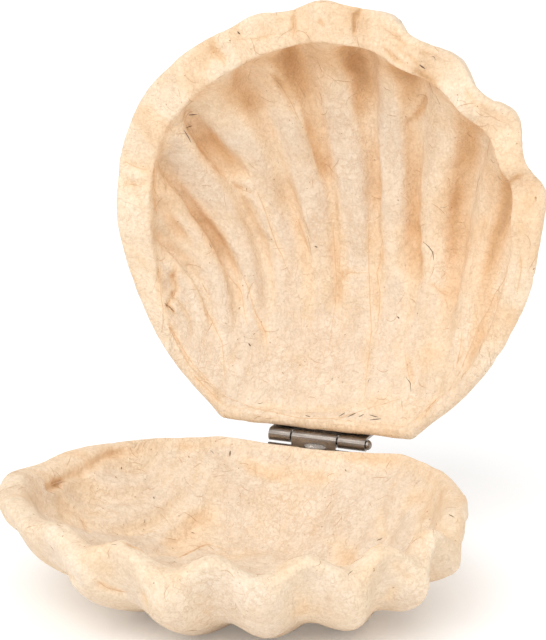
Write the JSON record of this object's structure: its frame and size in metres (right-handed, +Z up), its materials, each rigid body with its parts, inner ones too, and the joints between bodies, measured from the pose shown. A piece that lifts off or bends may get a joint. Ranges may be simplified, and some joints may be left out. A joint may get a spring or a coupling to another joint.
{
  "type": "scallop shell trinket box",
  "caption": "Hollow papier-mache scallop shell box: a ribbed bowl with a flat foot and a matching hinged lid, shown standing open.",
  "frame": {"origin": "centre of the flat foot, on the surface the box stands on", "axes": "+Z up, -Y to the open front of the box, +X along the hinge to the right as seen from the front"},
  "size_m": [0.1197, 0.1488, 0.1454],
  "materials": {
    "papier_mache": "matt unpainted beige paper pulp",
    "hinge_steel": "dull grey-brown steel"
  },
  "bodies": {
    "base": {"base_shell": "papier_mache", "base_hinge_leaf": "hinge_steel", "hinge_pin": "hinge_steel", "base_nail_left": "hinge_steel", "base_nail_right": "hinge_steel"},
    "lid": {"lid_shell": "papier_mache", "lid_hinge_leaf": "hinge_steel", "lid_nail_left": "hinge_steel", "lid_nail_right": "hinge_steel"}
  },
  "joints": [
    {"name": "lid_hinge", "type": "hinge", "parent": "base", "child": "lid", "pos_m": [-0.00426, 0.04725, 0.0275], "axis": [1, 0, 0], "range_deg": [0, 90]}
  ]
}
